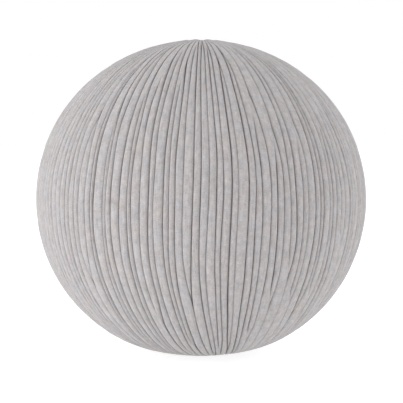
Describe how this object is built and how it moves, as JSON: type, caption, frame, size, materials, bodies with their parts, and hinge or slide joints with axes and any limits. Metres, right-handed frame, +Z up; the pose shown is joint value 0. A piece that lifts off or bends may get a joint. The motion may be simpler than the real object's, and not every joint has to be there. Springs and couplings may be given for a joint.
{
  "type": "pleated ball cushion",
  "caption": "Round cloth ball, gathered into fine vertical pleats from pole to pole, with sunken covered buttons and a zip down the back.",
  "frame": {"origin": "middle of the flat foot that the ball rests on, under its centre", "axes": "+Z up through the poles, the zip runs down the back at +Y, +X to the right seen from the front (-Y)"},
  "size_m": [0.3, 0.2999, 0.2847],
  "materials": {
    "pleated_cloth": "matte",
    "button_cloth": "matte",
    "liner_cloth": "matte",
    "fibre_filling": "matte",
    "button_metal": "satin",
    "washer_plastic": "satin",
    "waxed_twine": "matte",
    "tape_weave": "matte",
    "moulded_teeth": "satin",
    "zip_metal": "satin",
    "label_cloth": "matte"
  },
  "bodies": {
    "ball": {"pleated_cover": "pleated_cloth", "filling": "fibre_filling", "zip_tape_left": "tape_weave", "zip_tape_right": "tape_weave", "zip_teeth_left": "moulded_teeth", "zip_teeth_right": "moulded_teeth", "zip_top_stops": "zip_metal", "zip_bottom_stop": "zip_metal", "care_label": "label_cloth", "liner_gore_1": "liner_cloth", "liner_gore_2": "liner_cloth", "liner_gore_3": "liner_cloth", "liner_gore_4": "liner_cloth", "liner_gore_5": "liner_cloth", "liner_gore_6": "liner_cloth", "crown_button_cloth": "button_cloth", "crown_button_shell": "button_metal", "crown_button_back": "button_metal", "crown_button_twine": "waxed_twine", "crown_backing_washer": "washer_plastic", "crown_gather_cord": "waxed_twine", "base_button_cloth": "button_cloth", "base_button_shell": "button_metal", "base_button_back": "button_metal", "base_button_twine": "waxed_twine", "base_backing_washer": "washer_plastic", "base_gather_cord": "waxed_twine"},
    "slider": {"zip_slider": "zip_metal"},
    "pull": {"zip_pull": "zip_metal"}
  },
  "joints": [
    {"name": "zip_slide", "type": "hinge", "parent": "ball", "child": "slider", "pos_m": [0, 0.007, 0.14026], "axis": [-1, 0, 0], "range_deg": [0, 73.4]},
    {"name": "pull_swing", "type": "hinge", "parent": "slider", "child": "pull", "pos_m": [0, 0.12255, 0.22653], "axis": [1, 0, 0], "range_deg": [0, 150]}
  ]
}
